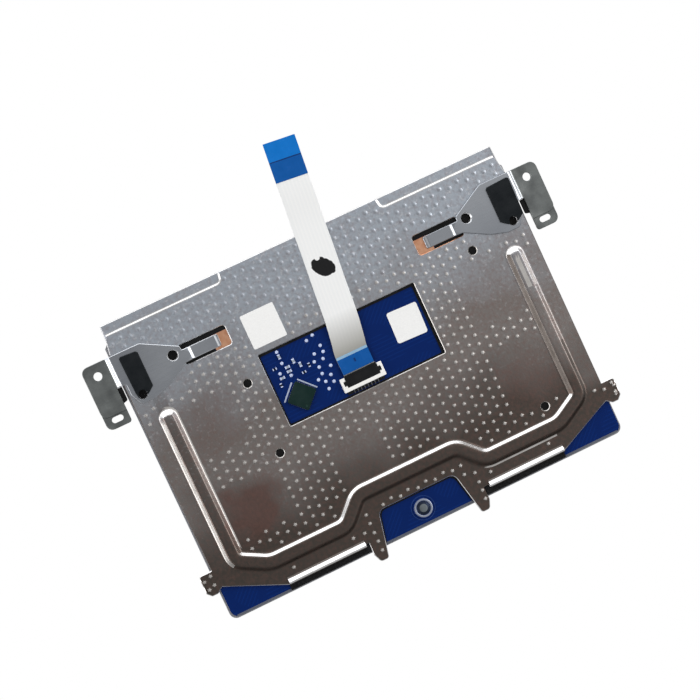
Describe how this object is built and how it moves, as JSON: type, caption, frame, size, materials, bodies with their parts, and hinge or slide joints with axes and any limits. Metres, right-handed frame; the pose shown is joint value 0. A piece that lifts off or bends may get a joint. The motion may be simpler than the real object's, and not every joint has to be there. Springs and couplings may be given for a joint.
{
  "type": "trackpad module",
  "caption": "Laptop trackpad with a touch plate and circuit board on a stamped base bracket, spring hinge arms with screw ears, a click switch and a flat ribbon cable.",
  "frame": {"origin": "middle of the module's plan, without the ribbon cable, on the plane that the rib crests rest on", "axes": "+Z out of the touch surface, +Y to the rear, where the cable leaves, +X to the user's right"},
  "size_m": [0.1336, 0.1134, 0.0038],
  "materials": {
    "touch_surface": "satin silver film over a metal plate",
    "adhesive_film": "clear adhesive film",
    "circuit_board": "navy solder mask",
    "black_tape": "black double-sided tape",
    "stamped_steel": "plated sheet steel",
    "black_foam": "closed-cell foam",
    "spring_steel": "satin spring steel",
    "dark_steel": "blackened steel",
    "black_rubber": "matt rubber",
    "copper": "bare copper",
    "chip_resin": "moulded resin",
    "capacitor_ceramic": "ceramic with tinned ends",
    "resistor_film": "black film with tinned ends",
    "socket_plastic": "moulded white plastic",
    "tinned_metal": "tinned conductor",
    "latch_plastic": "moulded black plastic",
    "cable_film": "white polyester film",
    "stiffener_film": "blue polyester film",
    "switch_body": "moulded switch body",
    "switch_metal": "steel dome",
    "label_paper": "white paper label"
  },
  "bodies": {
    "mount": {"left_hinge_bracket": "spring_steel", "right_hinge_bracket": "spring_steel", "left_ear_shim": "dark_steel", "right_ear_shim": "dark_steel", "left_bumper_pad": "black_rubber", "right_bumper_pad": "black_rubber"},
    "pad": {"touch_plate": "touch_surface", "touch_adhesive": "adhesive_film", "circuit_board": "circuit_board", "board_tape": "black_tape", "base_bracket": "stamped_steel", "rear_foam_strip": "black_foam", "front_left_foam": "black_foam", "front_right_foam": "black_foam", "left_ground_pad": "copper", "right_ground_pad": "copper", "controller_chip": "chip_resin", "chip_capacitors": "capacitor_ceramic", "chip_resistors": "resistor_film", "connector_housing": "socket_plastic", "connector_contacts": "tinned_metal", "flex_cable": "cable_film", "cable_stiffener_near": "stiffener_film", "cable_stiffener_far": "stiffener_film", "cable_contacts": "tinned_metal", "switch_base": "switch_body", "bracket_label": "label_paper", "board_label": "label_paper"},
    "dome": {"switch_dome": "switch_metal"},
    "latch": {"connector_latch": "latch_plastic"}
  },
  "joints": [
    {"name": "click_tilt", "type": "hinge", "parent": "mount", "child": "pad", "pos_m": [0, 0.0278, 0.0014], "axis": [1, 0, 0], "range_deg": [0, 0.3], "stiffness_Nm_per_rad": 4},
    {"name": "switch_press", "type": "slide", "parent": "pad", "child": "dome", "axis": [0, 0, 1], "range_m": [0, 0.0002], "stiffness_N_per_m": 3000},
    {"name": "latch_flip", "type": "hinge", "parent": "pad", "child": "latch", "pos_m": [0, 0.00256, 0.00088], "axis": [-1, 0, 0], "range_deg": [0, 90]}
  ]
}
